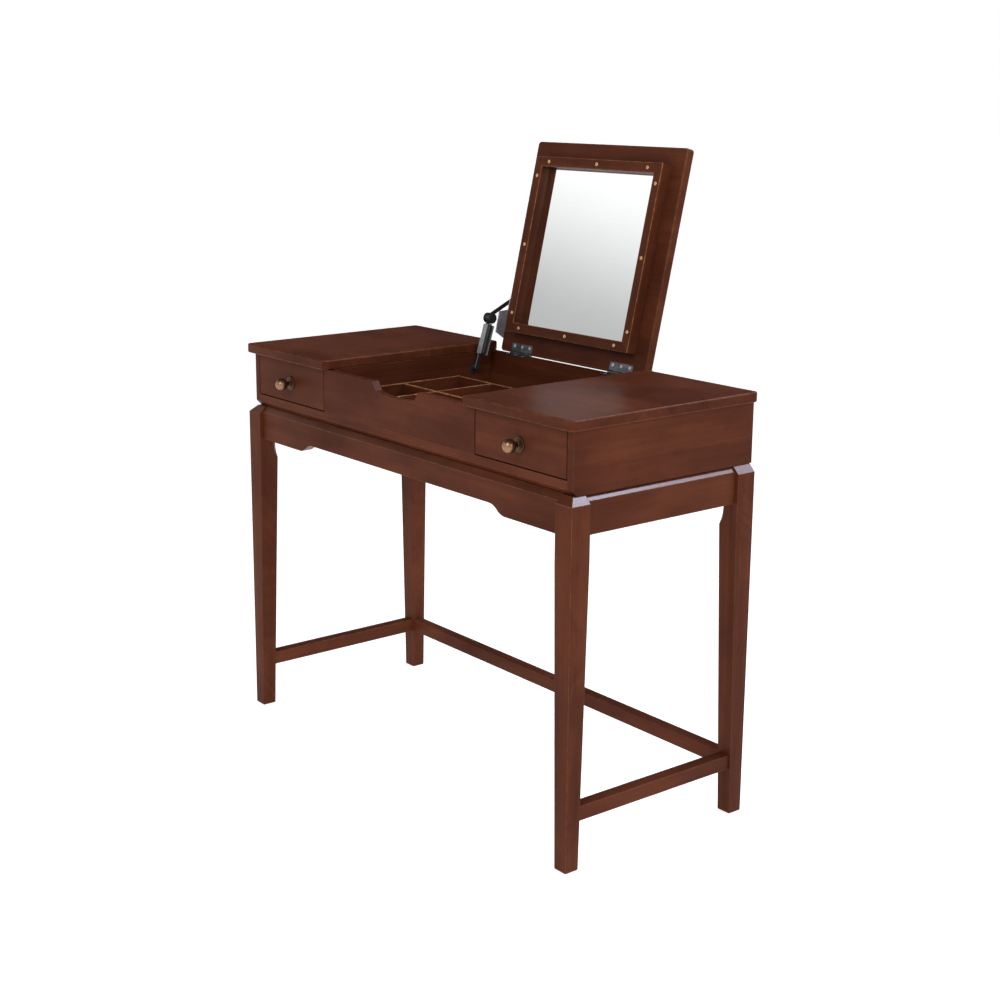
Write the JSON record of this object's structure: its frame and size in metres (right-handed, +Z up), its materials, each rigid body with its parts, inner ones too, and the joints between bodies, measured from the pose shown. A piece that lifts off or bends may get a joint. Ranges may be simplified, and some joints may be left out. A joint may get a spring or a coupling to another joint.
{
  "type": "vanity table with lift-up mirror lid",
  "caption": "Dark wood dressing table on tapered legs: a mirror lid lifts over a divided well between two small drawers, held by a folding stay.",
  "frame": {"origin": "on the floor, under the middle of the whole object's box with the lid raised", "axes": "+Z up, +Y from front to back, +X to the right as seen from the front"},
  "size_m": [0.98, 0.554, 1.1517],
  "materials": {
    "stained_wood": "dark red-brown stain under semi-gloss lacquer",
    "divider_wood": "stained faces, paler sanded top edges",
    "inner_wood": "unstained, sanded",
    "antique_bronze": "antique bronze, worn on the high spots",
    "plain_steel": "zinc plated",
    "hinge_steel": "dull grey steel",
    "zinc_plate": "bright zinc",
    "brass_screw": "bright brass",
    "mirror": "silvered glass",
    "black_steel": "satin black",
    "grey_steel": "satin grey",
    "black_plastic": "moulded"
  },
  "bodies": {
    "frame": {"back_apron": "stained_wood", "back_divider": "divider_wood", "back_left_leg": "stained_wood", "back_panel": "stained_wood", "back_right_leg": "stained_wood", "back_stretcher": "stained_wood", "case_bottom": "stained_wood", "corner_blocks": "inner_wood", "cross_divider": "divider_wood", "drawer_runners": "inner_wood", "front_apron": "stained_wood", "front_left_leg": "stained_wood", "front_panel": "stained_wood", "front_rail": "stained_wood", "front_right_leg": "stained_wood", "hinge_fixed_leaves": "hinge_steel", "hinge_fixed_screws": "zinc_plate", "hinge_pins": "hinge_steel", "left_apron": "stained_wood", "left_divider": "divider_wood", "left_partition": "stained_wood", "left_side_panel": "stained_wood", "left_stretcher": "stained_wood", "left_top": "stained_wood", "leg_bolts": "plain_steel", "middle_divider": "divider_wood", "right_apron": "stained_wood", "right_partition": "stained_wood", "right_side_panel": "stained_wood", "right_stretcher": "stained_wood", "right_top": "stained_wood", "stay_wall_bracket": "black_steel"},
    "lid": {"lid_panel": "stained_wood", "mirror_glass": "mirror", "upper_moulding": "stained_wood", "lower_moulding": "stained_wood", "left_moulding": "stained_wood", "right_moulding": "stained_wood", "moulding_screws": "brass_screw", "hinge_lid_leaves": "hinge_steel", "hinge_lid_screws": "zinc_plate", "stay_lid_bracket": "zinc_plate"},
    "left_drawer": {"left_drawer_back": "inner_wood", "left_drawer_bottom": "inner_wood", "left_drawer_front": "stained_wood", "left_drawer_inner_side": "inner_wood", "left_drawer_knob": "antique_bronze", "left_drawer_knob_screw": "plain_steel", "left_drawer_outer_side": "inner_wood"},
    "right_drawer": {"right_drawer_back": "inner_wood", "right_drawer_bottom": "inner_wood", "right_drawer_front": "stained_wood", "right_drawer_inner_side": "inner_wood", "right_drawer_knob": "antique_bronze", "right_drawer_knob_screw": "plain_steel", "right_drawer_outer_side": "inner_wood"},
    "stay_lower": {"stay_lower_arm": "grey_steel", "stay_hub": "black_plastic", "stay_spring_rod": "black_steel"},
    "stay_upper": {"stay_upper_arm": "black_steel"}
  },
  "joints": [
    {"name": "lid", "type": "hinge", "parent": "frame", "child": "lid", "pos_m": [0, 0.16548, 0.7415], "axis": [1, 0, 0], "range_deg": [0, 102.9]},
    {"name": "left_drawer", "type": "slide", "parent": "frame", "child": "left_drawer", "axis": [0, -1, 0], "range_m": [0, 0.25]},
    {"name": "right_drawer", "type": "slide", "parent": "frame", "child": "right_drawer", "axis": [0, -1, 0], "range_m": [0, 0.25]},
    {"name": "stay_lower", "type": "hinge", "parent": "frame", "child": "stay_lower", "pos_m": [-0.2048, 0.10348, 0.7125], "axis": [1, 0, 0], "range_deg": [0, 102.9]},
    {"name": "stay_upper", "type": "hinge", "parent": "stay_lower", "child": "stay_upper", "pos_m": [-0.2122, 0.13383, 0.80917], "axis": [1, 0, 0], "range_deg": [-102.9, 0]}
  ],
  "couplings": [
    {"joint": "stay_lower", "follows": "lid", "ratio": 1},
    {"joint": "stay_upper", "follows": "lid", "ratio": -1}
  ]
}
